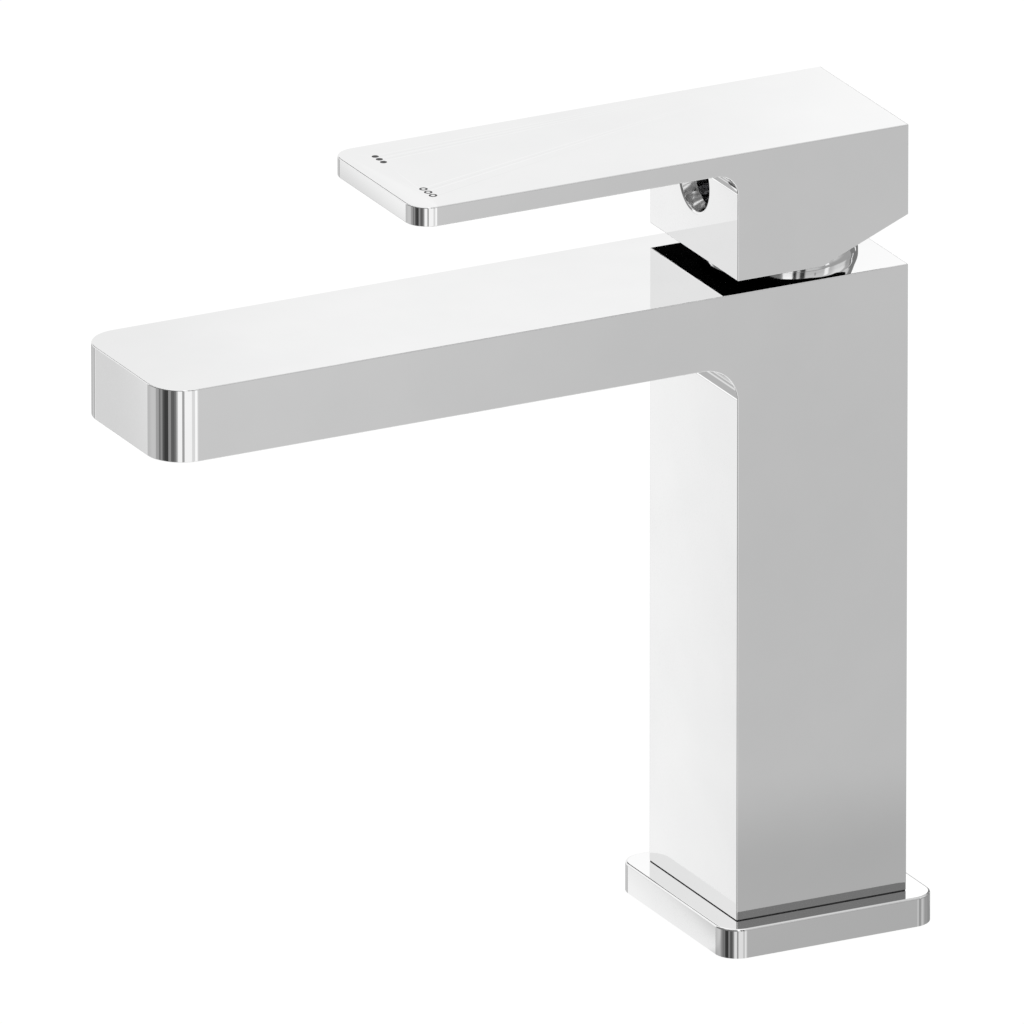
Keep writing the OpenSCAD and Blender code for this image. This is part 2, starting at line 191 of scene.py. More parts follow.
def apply_modifiers(obj):
    """Puts what the modifiers make into the object's own mesh."""
    graph = bpy.context.evaluated_depsgraph_get()
    mesh = bpy.data.meshes.new_from_object(obj.evaluated_get(graph))
    obj.modifiers.clear()
    old = obj.data
    obj.data = mesh
    bpy.data.meshes.remove(old)


def combine(obj, tool, operation):
    """Cuts, joins or intersects a solid with a tool, which is used up."""
    cut = obj.modifiers.new("combine", "BOOLEAN")
    cut.operation = operation
    cut.solver = "EXACT"
    cut.object = tool
    apply_modifiers(obj)
    mesh = tool.data
    bpy.data.objects.remove(tool)
    bpy.data.meshes.remove(mesh)


def clean(obj):
    """Welds double points and joins faces that lie in one plane."""
    bm = bmesh.new()
    bm.from_mesh(obj.data)
    bmesh.ops.remove_doubles(bm, verts=bm.verts, dist=WELD)
    flat = math.radians(0.2)
    bmesh.ops.dissolve_limit(bm, angle_limit=flat, verts=bm.verts, edges=bm.edges)
    bm.to_mesh(obj.data)
    bm.free()


def round_edges(obj, radius, segments=4):
    """Rounds every edge sharper than 30 degrees, as polishing leaves it."""
    bevel = obj.modifiers.new("round", "BEVEL")
    bevel.width = radius
    bevel.segments = segments
    bevel.limit_method = "ANGLE"
    bevel.angle_limit = math.radians(30)
    bevel.use_clamp_overlap = True
    apply_modifiers(obj)


def smooth(obj):
    """Smooth shading that keeps flat faces flat and hard edges hard."""
    obj.data.shade_smooth()
    obj.data.set_sharp_from_angle(angle=math.radians(32))
    weights = obj.modifiers.new("flat_faces_lead", "WEIGHTED_NORMAL")
    weights.mode = "FACE_AREA"
    weights.weight = 100
    weights.keep_sharp = True


def square_outline(half):
    """Corners of a square round the origin."""
    return [(half, half), (-half, half), (-half, -half), (half, -half)]


def tipped_outline(half, tip_y, back_y, radius):
    """Plan of a bar along -Y whose two corners at the tip are rounded."""
    left = arc((radius - half, tip_y + radius), radius, 180, 270)
    right = arc((half - radius, tip_y + radius), radius, 270, 360)
    return [(half, back_y), (-half, back_y)] + left + right


# ---- Chrome pieces ----


def make_body_shell():
    """Column and spout in one casting, hollow, with the cartridge's and the aerator's openings."""
    spout_z = shell_high.z - SPOUT_T
    ceiling_z = shell_high.z - WALL
    tip_y = shell_low.y
    root = arc((-HALF - SPOUT_ROOT_R, spout_z - SPOUT_ROOT_R), SPOUT_ROOT_R, 90, 0)
    below = shell_low.z - 2 * OVERSHOOT
    side = [(HALF, below), (HALF, shell_high.z), (tip_y, shell_high.z), (tip_y, spout_z)]
    side += root + [(-HALF, below)]
    body = prism("mixer_body", side, "X", -HALF, HALF)
    plan = tipped_outline(HALF, tip_y, HALF, SPOUT_TIP_R)
    reach = (below - OVERSHOOT, shell_high.z + OVERSHOOT)
    combine(body, prism("plan", plan, "Z", *reach), "INTERSECT")
    clean(body)
    round_edges(body, EDGE_R)
    foot = prism("foot", square_outline(HALF + OVERSHOOT), "Z", below - OVERSHOOT, shell_low.z)
    combine(body, foot, "DIFFERENCE")

    inner = HALF - WALL
    column = prism("column_hollow", square_outline(inner), "Z", shell_low.z - OVERSHOOT, ceiling_z)
    combine(body, column, "DIFFERENCE")
    neck = drum("neck", Vector(), NECK_R, ceiling_z - OVERSHOOT, shell_high.z + OVERSHOOT)
    combine(body, neck, "DIFFERENCE")
    void = tipped_outline(inner, tip_y + WALL, -inner + OVERSHOOT, SPOUT_TIP_R - WALL)
    combine(body, prism("spout_hollow", void, "Z", spout_z + WALL, ceiling_z), "DIFFERENCE")
    middle = Vector((0, (aerator_low.y + aerator_high.y) / 2, 0))
    lip_z = aerator_high.z + LIP_GAP
    boss_top = lip_z + LIP_T
    combine(body, drum("boss", middle, BOSS_R, spout_z + WALL / 2, boss_top), "UNION")
    bore = [
        (0, spout_z - OVERSHOOT),
        (AERATOR_R + AERATOR_RIM + OVERSHOOT, spout_z - OVERSHOOT),
        (AERATOR_R, spout_z + AERATOR_RIM),
        (AERATOR_R, lip_z),
        (LIP_R, lip_z),
        (LIP_R, boss_top + OVERSHOOT),
        (0, boss_top + OVERSHOOT),
    ]
    combine(body, lathe("aerator_bore", bore, middle), "DIFFERENCE")
    clean(body)
    return body


def make_base_plate():
    """Square plate with round corners, a collar that centres the column, and a gasket groove."""
    half = plate_high.x
    near = half - PLATE_CORNER_R
    outline = []
    for k, (x, y) in enumerate([(1, 1), (-1, 1), (-1, -1), (1, -1)]):
        outline += arc((x * near, y * near), PLATE_CORNER_R, 90 * k, 90 * k + 90)
    below = plate_low.z - OVERSHOOT
    plate = prism("foot_plate", outline, "Z", below, plate_low.z + PLATE_T)
    round_edges(plate, PLATE_EDGE_R)
    ground = prism("ground", square_outline(half + OVERSHOOT), "Z", below - OVERSHOOT, plate_low.z)
    combine(plate, ground, "DIFFERENCE")
    collar_half = HALF - WALL - COLLAR_PLAY
    collar = prism("collar", square_outline(collar_half), "Z", PLATE_T - OVERSHOOT, plate_high.z)
    round_edges(collar, EDGE_R)
    combine(plate, collar, "UNION")
    bore = drum("bore", Vector(), PLATE_BORE_R, plate_low.z - OVERSHOOT, plate_high.z + OVERSHOOT)
    combine(plate, bore, "DIFFERENCE")
    outer = gasket_high.x + GASKET_PLAY
    inner = gasket_high.x - GASKET_W - GASKET_PLAY
    groove = [
        (inner, plate_low.z - OVERSHOOT),
        (outer, plate_low.z - OVERSHOOT),
        (outer, gasket_high.z),
        (inner, gasket_high.z),
    ]
    combine(plate, lathe("groove", groove, Vector()), "DIFFERENCE")
    clean(plate)
    return plate


def make_handle():
    """Block and lever in one piece, hollow over the dome, with the screw's recess in front."""
    lever_z = handle_high.z - LEVER_T
    tip_y = handle_low.y
    root = arc((-HALF - LEVER_ROOT_R, lever_z - LEVER_ROOT_R), LEVER_ROOT_R, 90, 0)
    side = [(-HALF, handle_low.z), (0, handle_low.z), (HALF, handle_low.z + REAR_RISE)]
    side += [(HALF, handle_high.z), (tip_y, handle_high.z), (tip_y, lever_z)] + root
    handle = prism("lever_handle", side, "X", -HALF, HALF)
    plan = tipped_outline(HALF, tip_y, HALF, LEVER_TIP_R)
    reach = (handle_low.z - OVERSHOOT, handle_high.z + OVERSHOOT)
    combine(handle, prism("plan", plan, "Z", *reach), "INTERSECT")
    clean(handle)
    round_edges(handle, EDGE_R)

    ball_r = DOME_R + HANDLE_CLEARANCE
    ball = arc((0, 0), ball_r, -90, 90, 64)
    ball = [(max(0.0, r), h) for r, h in ball]
    ball[0], ball[-1] = (0, -ball_r), (0, ball_r)
    combine(handle, lathe("ball", ball, Vector((0, 0, PIVOT_Z))), "DIFFERENCE")
    socket = prism("socket", square_outline(SOCKET_HALF), "Z", PIVOT_Z, SOCKET_TOP)
    combine(handle, socket, "DIFFERENCE")
    front = Vector((0, -HALF, RECESS_Z))
    combine(handle, lathe("recess", recess_profile(), front, "Y", 96), "DIFFERENCE")
    for node in ("hot_mark", "cold_mark"):
        cut_pockets(handle, frame["nodes"][node])
    clean(handle)
    return handle


def recess_profile():
    """The screw's recess: from ahead of the fillet, a rounded rim, a flared mouth and a bore."""
    ahead = -LEVER_ROOT_R - OVERSHOOT
    far = HALF - SOCKET_HALF + OVERSHOOT
    flare = math.atan((RECESS_R - RECESS_FLOOR_R) / RECESS_MOUTH)
    rim_end = RECESS_RIM * (1 - math.sin(flare))
    rim_r = RECESS_R - math.tan(flare) * rim_end + RECESS_RIM * math.cos(flare)
    profile = [(0, ahead), (rim_r, ahead)]
    profile += arc((rim_r, RECESS_RIM), RECESS_RIM, 270, 180 + math.degrees(flare), 8)
    profile += [
        (RECESS_FLOOR_R + math.tan(flare) * RECESS_BLEND, RECESS_MOUTH - RECESS_BLEND),
        (RECESS_FLOOR_R, RECESS_MOUTH + RECESS_BLEND),
        (RECESS_FLOOR_R, RECESS_DEPTH),
        (SCREW_HOLE_R, RECESS_DEPTH),
        (SCREW_HOLE_R, far),
        (0, far),
    ]
    return profile


def cut_pockets(handle, mark):
    """Sinks the mark's own shape into the lever's top."""
    tool = bpy.data.objects.new("pocket", mark.data.copy())
    bpy.context.scene.collection.objects.link(tool)
    bm = bmesh.new()
    bm.from_mesh(tool.data)
    bmesh.ops.remove_doubles(bm, verts=bm.verts, dist=WELD)
    top = handle_high.z - MARK_DEPTH / 2
    for vert in bm.verts:
        if vert.co.z > top:
            vert.co.z += MARK_DEPTH
    bmesh.ops.recalc_face_normals(bm, faces=bm.faces)
    bm.to_mesh(tool.data)
    bm.free()
    combine(handle, tool, "DIFFERENCE")


def make_dome():
    """The turned cap over the retaining nut: a ball that runs out into an upright skirt."""
    inner_r = DOME_R - DOME_WALL
    step_z = shell_high.z + DOME_STEP
    top_z = PIVOT_Z + math.sqrt(DOME_R**2 - DOME_HOLE_R**2)
    inner_top = PIVOT_Z + math.sqrt(inner_r**2 - DOME_HOLE_R**2)
    shoulder_z = shell_high.z + DOME_SHOULDER
    profile = [(DOME_R, dome_low.z)] + shoulder_curve(shell_high.z + DOME_SKIRT / 2, shoulder_z)
    profile += on_ball(DOME_R, shoulder_z, top_z, 44)[1:]
    profile += on_ball(inner_r, inner_top, step_z, 36)
    profile += [(NUT_BORE_R, step_z), (NUT_BORE_R, dome_low.z)]
    return lathe("neck_dome", profile, Vector())


def on_ball(radius, start_z, end_z, steps):
    """Profile points along a ball round the pivot."""
    heights = [start_z + (end_z - start_z) * k / steps for k in range(steps + 1)]
    return [(math.sqrt(radius**2 - (z - PIVOT_Z) ** 2), z) for z in heights]


def shoulder_curve(start_z, end_z, steps=16):
    """Profile points that leave the skirt upright and meet the ball along its own slope."""
    end_r = math.sqrt(DOME_R**2 - (end_z - PIVOT_Z) ** 2)
    slope = -(end_z - PIVOT_Z) / end_r
    span = end_z - start_z
    points = []
    for k in range(steps + 1):
        t = k / steps
        keep = 2 * t**3 - 3 * t**2 + 1
        radius = keep * DOME_R + (1 - keep) * end_r + (t**3 - t**2) * span * slope
        points.append((radius, start_z + span * t))
    return points


# ---- Materials ----


def principled(name, color, metallic, roughness):
    """A material with one Principled shader, and the pieces that the detail functions need."""
    mat = bpy.data.materials.new(name)
    mat.use_nodes = True
    shader = mat.node_tree.nodes["Principled BSDF"]
    shader.inputs["Base Color"].default_value = (*color, 1)
    shader.inputs["Metallic"].default_value = metallic
    shader.inputs["Roughness"].default_value = roughness
    return mat, mat.node_tree, shader


def noise(tree, scale, detail=3.0, stretch=(1, 1, 1), roughness=0.55):
    """A noise texture in the piece's own metres; a small stretch draws it out along an axis."""
    coords = tree.nodes.new("ShaderNodeTexCoord")
    mapping = tree.nodes.new("ShaderNodeMapping")
    mapping.inputs["Scale"].default_value = stretch
    texture = tree.nodes.new("ShaderNodeTexNoise")
    texture.inputs["Scale"].default_value = scale
    texture.inputs["Detail"].default_value = detail
    texture.inputs["Roughness"].default_value = roughness
    tree.links.new(coords.outputs["Object"], mapping.inputs["Vector"])
    tree.links.new(mapping.outputs["Vector"], texture.inputs["Vector"])
    return texture.outputs["Fac"]


def spread(tree, value, low, high, from_low=0.3, from_high=0.7):
    """Maps a noise value to a range."""
    node = tree.nodes.new("ShaderNodeMapRange")
    node.inputs["From Min"].default_value = from_low
    node.inputs["From Max"].default_value = from_high
    node.inputs["To Min"].default_value = low
    node.inputs["To Max"].default_value = high
    tree.links.new(value, node.inputs["Value"])
    return node.outputs["Result"]


def tint(tree, value, dark, light):
    """A colour between two, picked by a value."""
    node = tree.nodes.new("ShaderNodeValToRGB")
    node.color_ramp.elements[0].position = 0.3
    node.color_ramp.elements[1].position = 0.7
    node.color_ramp.elements[0].color = (*dark, 1)
    node.color_ramp.elements[1].color = (*light, 1)
    tree.links.new(value, node.inputs["Fac"])
    return node.outputs["Color"]


def add(tree, one, two):
    """The sum of two nodes' outputs."""
    node = tree.nodes.new("ShaderNodeMath")
    node.operation = "ADD"
    tree.links.new(one, node.inputs[0])
    tree.links.new(two, node.inputs[1])
    return node.outputs["Value"]


def bump(tree, shader, height, depth):
    """Bump from a 0 to 1 height, whose full depth is given in metres."""
    node = tree.nodes.new("ShaderNodeBump")
    node.inputs["Strength"].default_value = 1.0
    node.inputs["Distance"].default_value = depth
    tree.links.new(height, node.inputs["Height"])
    tree.links.new(node.outputs["Normal"], shader.inputs["Normal"])


def vary(tree, shader, rough_by, roughness, tint_by, dark, light):
    """Lets one noise pick the roughness from a range, and one the colour between two."""
    tree.links.new(spread(tree, rough_by, *roughness), shader.inputs["Roughness"])
    tree.links.new(tint(tree, tint_by, dark, light), shader.inputs["Base Color"])


def chrome():
    """Polished plating: a mirror with faint wipe marks, specks and fine hairlines."""
    mat, tree, shader = principled("polished_chrome", (0.93, 0.93, 0.93), 1.0, 0.03)
    wipes = spread(tree, noise(tree, 38, 4, (1, 0.35, 1)), 0.012, 0.026)
    specks = spread(tree, noise(tree, 1600, 2), 0.0, 0.012, 0.45, 0.75)
    tree.links.new(add(tree, wipes, specks), shader.inputs["Roughness"])
    cloud = tint(tree, noise(tree, 55, 3), (0.918, 0.919, 0.92), (0.94, 0.94, 0.94))
    tree.links.new(cloud, shader.inputs["Base Color"])
    hairlines = noise(tree, 900, 2, (0.06, 1, 1))
    bump(tree, shader, hairlines, 0.1 * UM)
    return mat


def turned_chrome():
    """Plating over a turned surface, on the dome: a mirror that its faint tool rings soften."""
    mat, tree, shader = principled("turned_chrome", (0.91, 0.91, 0.91), 1.0, 0.07)
    rings = noise(tree, 1400, 2, (0.1, 0.1, 1))
    cloud = noise(tree, 160, 3)
    vary(tree, shader, cloud, (0.055, 0.09), cloud, (0.89, 0.89, 0.895), (0.93, 0.93, 0.93))
    bump(tree, shader, rings, 0.3 * UM)
    return mat


def satin_chrome_painted_light():
    """Plating over a blasted surface, in the mouth of the screw's recess: soft, and a shade lighter
    than the polished chrome as painted light.
    """
    mat, tree, shader = principled("satin_chrome_painted_light", (0.96, 0.96, 0.96), 1.0, 0.1)
    grain = noise(tree, 2600, 3)
    cloud = noise(tree, 160, 3)
    vary(tree, shader, cloud, (0.08, 0.13), cloud, (0.95, 0.95, 0.95), (0.98, 0.98, 0.98))
    bump(tree, shader, grain, 1.5 * UM)
    return mat


def deep_recess_painted_shade():
    """The deep end of the screw's recess: a darker copy of the chrome, as painted shade."""
    mat, tree, shader = principled("deep_recess_painted_shade", (0.5, 0.5, 0.51), 1.0, 0.06)
    rings = noise(tree, 1400, 2, (0.1, 1, 0.1))
    cloud = noise(tree, 160, 3)
    vary(tree, shader, cloud, (0.06, 0.1), cloud, (0.47, 0.47, 0.48), (0.53, 0.53, 0.54))
    bump(tree, shader, rings, 0.3 * UM)
    return mat


def underside_painted_shade():
    """The handle's underside and inside, painted almost black and nearly without shine, as painted
    shade.
    """
    mat, tree, shader = principled("underside_painted_shade", (0.0004, 0.0004, 0.0004), 0.0, 0.6)
    shader.inputs["Specular IOR Level"].default_value = 0.002
    grain = noise(tree, 900, 4)
    dark, light = (0.0002, 0.0002, 0.0002), (0.0008, 0.0008, 0.0009)
    vary(tree, shader, grain, (0.52, 0.72), grain, dark, light)
    bump(tree, shader, grain, 20 * UM)
    return mat


def brass():
    """Machined brass with fine tool lines and a little tarnish."""
    mat, tree, shader = principled("machined_brass", (0.75, 0.55, 0.27), 1.0, 0.3)
    lines = noise(tree, 2200, 2, (0.1, 0.1, 1))
    tarnish = noise(tree, 90, 4)
    vary(tree, shader, tarnish, (0.22, 0.42), tarnish, (0.6, 0.42, 0.2), (0.8, 0.6, 0.32))
    bump(tree, shader, lines, 6 * UM)
    return mat


def rubber():
    """Moulded black rubber with a dusty, slightly pitted skin."""
    mat, tree, shader = principled("black_rubber", (0.022, 0.022, 0.023), 0.0, 0.7)
    pits = noise(tree, 1500, 4)
    dust = noise(tree, 120, 3)
    vary(tree, shader, dust, (0.6, 0.82), dust, (0.016, 0.016, 0.017), (0.032, 0.032, 0.034))
    bump(tree, shader, pits, 30 * UM)
    return mat


def plastic():
    """Moulded off-white acetal with a fine sparked texture."""
    mat, tree, shader = principled("white_plastic", (0.78, 0.78, 0.74), 0.0, 0.42)
    shader.inputs["IOR"].default_value = 1.48
    spark = noise(tree, 1800, 3)
    flow = noise(tree, 70, 3)
    vary(tree, shader, spark, (0.34, 0.52), flow, (0.7, 0.7, 0.66), (0.82, 0.82, 0.79))
    bump(tree, shader, spark, 10 * UM)
    return mat


def ceramic():
    """Lapped alumina: pale, dense and very smooth."""
    mat, tree, shader = principled("lapped_ceramic", (0.86, 0.85, 0.81), 0.0, 0.16)
    shader.inputs["IOR"].default_value = 1.76
    grain = noise(tree, 2400, 3)
    vary(tree, shader, grain, (0.1, 0.22), grain, (0.82, 0.81, 0.77), (0.9, 0.89, 0.86))
    bump(tree, shader, grain, 2 * UM)
    return mat


def steel():
    """Ground stainless steel, with its grain along one way."""
    mat, tree, shader = principled("ground_steel", (0.6, 0.6, 0.61), 1.0, 0.3)
    grain = noise(tree, 3000, 2, (1, 0.05, 1))
    vary(tree, shader, grain, (0.22, 0.4), grain, (0.5, 0.5, 0.51), (0.66, 0.66, 0.67))
    bump(tree, shader, grain, 4 * UM)
    return mat


def ink():
    """Dark paint in the sunk marks."""
    mat, tree, shader = principled("mark_paint", (0.035, 0.035, 0.036), 0.0, 0.4)
    grain = noise(tree, 2600, 3)
    vary(tree, shader, grain, (0.32, 0.5), grain, (0.026, 0.026, 0.027), (0.045, 0.045, 0.046))
    bump(tree, shader, grain, 8 * UM)
    return mat


def dress(obj, mat):
    """Gives a piece one material all over, in its slots and not in its mesh."""
    if not obj.material_slots:
        obj.data.materials.append(mat)
    for slot in obj.material_slots:
        slot.material = mat


def finish_and_shade_handle(handle):
    """The block's underside and inside are painted near-black as painted shade; the recess's mouth is
    satin, a shade lighter as painted light, and its deep end darker as painted shade.
    """
    for mat in (underside_painted_shade(), deep_recess_painted_shade(), satin_chrome_painted_light()):
        handle.data.materials.append(mat)
    dark, deep_shade, satin = 1, 2, 3
    flat = Vector((0, 0, -1))
    slope = Vector((0, REAR_RISE, -HALF)).normalized()
    nearly = math.cos(math.radians(1))
    recess_axis = Vector((0, 0, RECESS_Z))
    for face in handle.data.polygons:
        middle = face.center
        under = middle.y > -HALF and middle.z < handle_low.z + REAR_RISE
        below = under and max(face.normal.dot(flat), face.normal.dot(slope)) > nearly
        inside = (middle - Vector((0, 0, PIVOT_Z))).length < DOME_R + 2 * HANDLE_CLEARANCE
        socket = max(abs(middle.x), abs(middle.y)) < SOCKET_HALF * 1.02 and middle.z < SOCKET_TOP + MM
        # Faces under and inside the block get the near-black painted shade.
        if below or inside or socket:
            face.material_index = dark
            continue
        off_axis = (middle - recess_axis) * Vector((1, 0, 1))
        bored = -HALF + RECESS_RIM * 0.9 < middle.y < -SOCKET_HALF
        if bored and off_axis.length < RECESS_R + MM:
            # The mouth takes the lighter copy as painted light, and the deep end the darker copy as
            # painted shade.
            face.material_index = satin if middle.y < -HALF + RECESS_MOUTH else deep_shade


# ---- Studio ----

# Where the camera aims, along its own right, up and back axes, and the width that it sees there.
AIM_RIGHT = -55.72 * MM
AIM_UP = 82.29 * MM
AIM_DEPTH = 46.4 * MM
VIEW_AZIMUTH = 62.95
VIEW_ELEVATION = 20.458
FRAME_WIDTH = 213.8 * MM
LENS = 1600.0
SENSOR = 36.0


def view_axes():
    """Right, up and back of a camera at the view's azimuth and elevation."""
    a, e = math.radians(VIEW_AZIMUTH), math.radians(VIEW_ELEVATION)
    back = Vector((math.sin(a) * math.cos(e), -math.cos(a) * math.cos(e), math.sin(e)))
    right = Vector((math.cos(a), math.sin(a), 0))
    return right, back.cross(right), back


def make_camera():
    """A very long lens, because the object is seen almost without perspective."""
    data = bpy.data.cameras.new("camera")
    camera = bpy.data.objects.new("camera", data)
    bpy.context.scene.collection.objects.link(camera)
    right, up, back = view_axes()
    aim = right * AIM_RIGHT + up * AIM_UP + back * AIM_DEPTH
    distance = FRAME_WIDTH / 2 * LENS / (SENSOR / 2)
    data.lens = LENS
    data.sensor_width = SENSOR
    data.clip_start = 0.1
    data.clip_end = 60
    camera.location = aim + back * distance
    camera.rotation_mode = "QUATERNION"
    camera.rotation_quaternion = (-back).to_track_quat("-Z", "Y")
    bpy.context.scene.camera = camera


def feed(tree, socket, value):
    """Sets a socket to a number, or links another node's output to it."""
    if isinstance(value, (int, float)):
        socket.default_value = value
    else:
        tree.links.new(value, socket)


def math_node(tree, operation, *values):
    """The result of one arithmetic node on numbers or other nodes' outputs."""
    node = tree.nodes.new("ShaderNodeMath")
    node.operation = operation
    for socket, value in zip(node.inputs, values):
        feed(tree, socket, value)
    return node.outputs["Value"]


def ease(tree, value, low, high, from_value=0.0, to_value=1.0):
    """Goes smoothly from one value to another as the input goes from low to high."""
    node = tree.nodes.new("ShaderNodeMapRange")
    node.interpolation_type = "SMOOTHSTEP"
    node.inputs["From Min"].default_value = low
    node.inputs["From Max"].default_value = high
    node.inputs["To Min"].default_value = from_value
    node.inputs["To Max"].default_value = to_value
    tree.links.new(value, node.inputs["Value"])
    return node.outputs["Result"]


def band(tree, angle, start, end, soft):
    """1 between two angles and 0 outside them, in degrees, with soft edges."""
    away = math_node(tree, "ABSOLUTE", math_node(tree, "SUBTRACT", angle, (start + end) / 2))
    half = (end - start) / 2
    return ease(tree, away, half - soft, half + soft, 1, 0)


def mix(tree, factor, one, two):
    """One value where the factor is 0, and two where it is 1."""
    node = tree.nodes.new("ShaderNodeMix")
    node.data_type = "FLOAT"
    feed(tree, node.inputs["Factor"], factor)
    feed(tree, node.inputs["A"], one)
    feed(tree, node.inputs["B"], two)
    return node.outputs["Result"]


# The cards round the object that the chrome mirrors, as (brightness, from, to, soft edge), each
# painted over those before it. Bearings are in degrees from +X towards +Y, and run from -202
# to 158. The low ring is below the horizon, and the high ring above it.
SEAM = 158
LOW_BASE = 0.36
LOW_CARDS = [
    (0.345, -202, -187, 1.0),
    (0.48, -187, -155.7, 0.5),
    (0.765, -176, -170, 0.5),
    (1.10, -155.8, -153.9, 0.15),
    (0.69, -153.9, -152.0, 0.1),
    (0.957, -153.2, -152.0, 0.35),
    (0.90, -152.72, -152.0, 0.08),
    (0.52, -152.45, -111, 0.15),
    (0.58, -135, -111, 9.0),
    (0.36, -111, -99.5, 0.5),
    (0.18, -99.5, -80, 0.5),
    (0.29, -93.5, -88.5, 0.4),
    (0.08, -85, -79, 0.8),
    (0.045, -80, -67.5, 0.6),
    (0.28, -66.8, -59.8, 0.8),
    (0.115, -59.5, -42.5, 0.6),
    (0.20, -48.3, -42.5, 0.5),
    (0.50, -42.5, -38.3, 0.5),
    (0.96, -38.3, 14, 0.4),
    (0.37, -25.5, -18.5, 0.4),
    (0.73, 4, 14, 0.5),
    (1.02, 13.5, 22, 0.5),
    (0.68, 21.5, 25.5, 0.5),
    (0.615, 25.5, 28.2, 0.3),
    (0.553, 27.05, 28.2, 0.35),
    (0.725, 28.2, 36.5, 0.5),
    (0.42, 36.5, 51, 0.6),
    (0.705, 51, 65, 0.6),
    (0.545, 65, 72.5, 0.6),
    (0.42, 72.5, 98, 0.6),
]
HIGH_BASE = 0.56
HIGH_CARDS = [
    (1.00, -202, -141, 3.0),
    (0.18, -141, -22, 6.0),
    (1.00, -22, -8, 1.0),
    (0.03, -7.5, -2, 1.0),
    (0.04, 3, 11, 1.5),
    (0.75, 60, 86, 6.0),
    (0.40, 86, 99, 3.0),
    (0.89, 151.3, 160, 0.5),
    (0.96, 151.3, 153.35, 0.2),
    (1.045, 151.3, 152.6, 0.2),
]
# Cards that stand at one height, as (brightness, bearings, heights, soft edge). The first is for
# level faces seen from the side, the next two are what a level face and an upright one mirror
# together, the last shades the fillet at the lever's root, and the others light the dome.
PATCHES = [
    (0.82, (-194, -162), (8, 21), 3.0),
    (0.875, (-154.2, -151.8), (19.3, 21.7), 0.2),
    (0.19, (26.1, 28.1), (19.4, 21.6), 0.2),
    (0.20, (99, 150), (-18, 32), 1.5),
    (0.36, (34, 97), (-16, 10), 5.0),
    (0.22, (-60, 97), (-18, -7), 3.0),
    (1.00, (43, 50), (6, 30), 1.5),
    (1.00, (105, 108), (4, 34), 0.8),
    (1.00, (117, 121), (-12, 12), 0.8),
    (0.08, (-201, -170), (22, 44), 1.5),
]
# The high ring's steps in brightness, as (heights, factor below, factor above).
HIGH_STEPS = [((19.8, 20.4), 0.958, 1), ((20.6, 20.9), 1, 1.08)]
HORIZON = (-17, -13)
NADIR = 1.0
NADIR_HEIGHTS = (-55, -45)
ZENITH = 1.2
ZENITH_HEIGHTS = (60, 72)

FLOOR_R = 4.0
FLOOR_Z = -0.2 * MM
FLOOR_GLOW = 0.965
FLOOR_MATT = 0.06

SHADE_R = 0.45
SHADE_Z = -0.1 * MM
SHADE_START = 15 * MM
# The shade's two parts along +X, as (full up to, gone from, share of light taken away).
SHADE_NEAR = (58 * MM, 112 * MM, 0.168)
SHADE_FAR = (230 * MM, 400 * MM, 0.041)


def make_world():
    """White for the camera, soft even light for matt surfaces, and the cards for mirrors."""
    world = bpy.data.worlds.new("studio")
    bpy.context.scene.world = world
    world.use_nodes = True
    world.cycles.sampling_method = "NONE"
    tree = world.node_tree
    coords = tree.nodes.new("ShaderNodeTexCoord")
    split = tree.nodes.new("ShaderNodeSeparateXYZ")
    tree.links.new(coords.outputs["Generated"], split.inputs["Vector"])
    x, y, z = (split.outputs[k] for k in "XYZ")
    turned = math_node(tree, "DEGREES", math_node(tree, "ARCTAN2", y, x))
    bearing = math_node(tree, "WRAP", turned, SEAM, SEAM - 360)
    height = math_node(tree, "DEGREES", math_node(tree, "ARCSINE", z))

    low = paint(tree, bearing, LOW_BASE, LOW_CARDS)
    low = mix(tree, ease(tree, height, *NADIR_HEIGHTS), NADIR, low)
    high = paint(tree, bearing, HIGH_BASE, HIGH_CARDS)
    for heights, before, after in HIGH_STEPS:
        high = math_node(tree, "MULTIPLY", high, ease(tree, height, *heights, before, after))
    for bright, bearings, heights, soft in PATCHES:
        across = band(tree, bearing, *bearings, soft)
        patch = math_node(tree, "MULTIPLY", across, band(tree, height, *heights, soft))
        high = mix(tree, patch, high, bright)
    high = mix(tree, ease(tree, height, *ZENITH_HEIGHTS), high, ZENITH)
    seen = mix(tree, ease(tree, height, *HORIZON), low, high)

    path = tree.nodes.new("ShaderNodeLightPath")
    strength = mix(tree, path.outputs["Is Glossy Ray"], 1.0, seen)
    background = tree.nodes["Background"]
    background.inputs["Color"].default_value = (1, 1, 1, 1)
    tree.links.new(strength, background.inputs["Strength"])


def paint(tree, angle, base, cards):
    """Brightness round one ring of cards."""
    seen = base
    for bright, start, end, soft in cards:
        seen = mix(tree, band(tree, angle, start, end, soft), seen, bright)
    return seen


def disc(name, radius, z):
    """A flat round sheet, for the floor."""
    bm = bmesh.new()
    bmesh.ops.create_circle(bm, cap_ends=True, segments=96, radius=radius)
    for vert in bm.verts:
        vert.co.z = z
    return new_object(name, bm)


def make_floor():
    """A plain pale floor with a faint shadow, which mirrors don't see."""
    floor = disc("floor", FLOOR_R, FLOOR_Z)
    floor.visible_glossy = False
    mat = bpy.data.materials.new("floor_white")
    mat.use_nodes = True
    tree = mat.node_tree
    tree.nodes.remove(tree.nodes["Principled BSDF"])
    glow = tree.nodes.new("ShaderNodeEmission")
    glow.inputs["Strength"].default_value = FLOOR_GLOW
    matt = tree.nodes.new("ShaderNodeBsdfDiffuse")
    matt.inputs["Color"].default_value = (FLOOR_MATT, FLOOR_MATT, FLOOR_MATT, 1)
    both = tree.nodes.new("ShaderNodeAddShader")
    tree.links.new(glow.outputs["Emission"], both.inputs[0])
    tree.links.new(matt.outputs["BSDF"], both.inputs[1])
    tree.links.new(both.outputs["Shader"], tree.nodes["Material Output"].inputs["Surface"])
    dress(floor, mat)


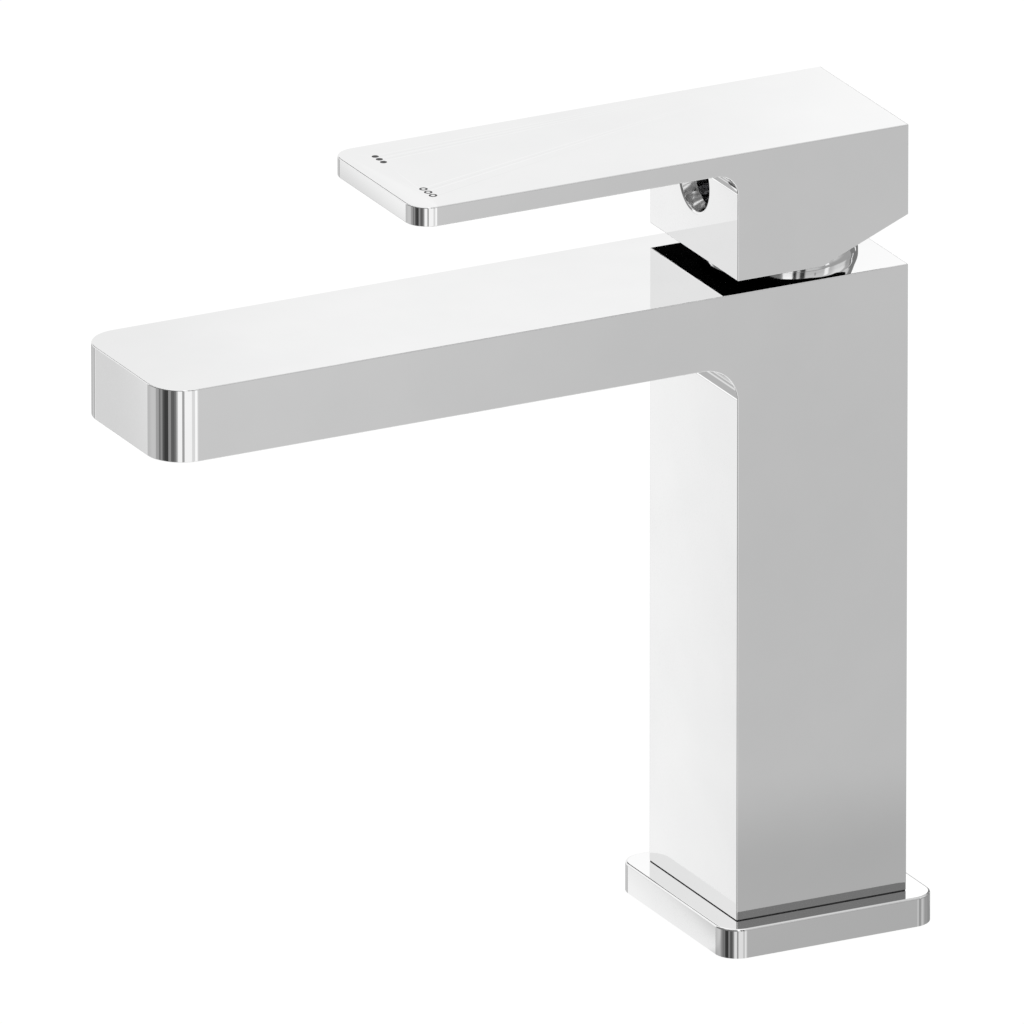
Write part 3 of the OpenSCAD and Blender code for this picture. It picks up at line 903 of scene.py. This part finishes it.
def make_foot_shade():
    """Darkens what the chrome mirrors of the floor on the foot's +X side; only mirrors see it."""
    shade = disc("foot_shade", SHADE_R, SHADE_Z)
    shade.visible_camera = False
    shade.visible_diffuse = False
    shade.visible_transmission = False
    shade.visible_shadow = False
    mat = bpy.data.materials.new("foot_shade")
    mat.use_nodes = True
    tree = mat.node_tree
    tree.nodes.remove(tree.nodes["Principled BSDF"])
    coords = tree.nodes.new("ShaderNodeTexCoord")
    split = tree.nodes.new("ShaderNodeSeparateXYZ")
    tree.links.new(coords.outputs["Object"], split.inputs["Vector"])
    away = split.outputs["X"]
    near = ease(tree, away, *SHADE_NEAR, 0)
    far = ease(tree, away, *SHADE_FAR, 0)
    side = ease(tree, away, SHADE_START, HALF)
    fade = math_node(tree, "MULTIPLY", math_node(tree, "ADD", near, far), side)
    clear = tree.nodes.new("ShaderNodeBsdfTransparent")
    dark = tree.nodes.new("ShaderNodeEmission")
    dark.inputs["Strength"].default_value = 0.0
    blend = tree.nodes.new("ShaderNodeMixShader")
    tree.links.new(fade, blend.inputs["Fac"])
    tree.links.new(clear.outputs["BSDF"], blend.inputs[1])
    tree.links.new(dark.outputs["Emission"], blend.inputs[2])
    tree.links.new(blend.outputs["Shader"], tree.nodes["Material Output"].inputs["Surface"])
    dress(shade, mat)


# ---- Putting it together ----

FINISHES = {
    "chrome": chrome(),
    "turned_chrome": turned_chrome(),
    "brass": brass(),
    "rubber": rubber(),
    "plastic": plastic(),
    "ceramic": ceramic(),
    "steel": steel(),
    "ink": ink(),
}


def place(piece, node, body, finish="chrome"):
    """A rounded piece takes over from a CAD node."""
    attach(piece, body)
    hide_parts(node)
    dress(piece, FINISHES[finish])
    smooth(piece)


def dress_cad_nodes():
    """Gives each CAD node the finish of its material slot."""
    for part in frame["record"]["subparts"]:
        dress(frame["nodes"][part["node"]], FINISHES[part["material_slot"]])


dress_cad_nodes()
place(make_body_shell(), "body_shell", "root")
place(make_base_plate(), "base_plate", "root")
place(make_dome(), "dome_cap", "root", "turned_chrome")
handle_piece = make_handle()
place(handle_piece, "handle", "lever")
finish_and_shade_handle(handle_piece)

make_camera()
make_world()
make_floor()
make_foot_shade()
bpy.context.scene.view_settings.view_transform = "Standard"
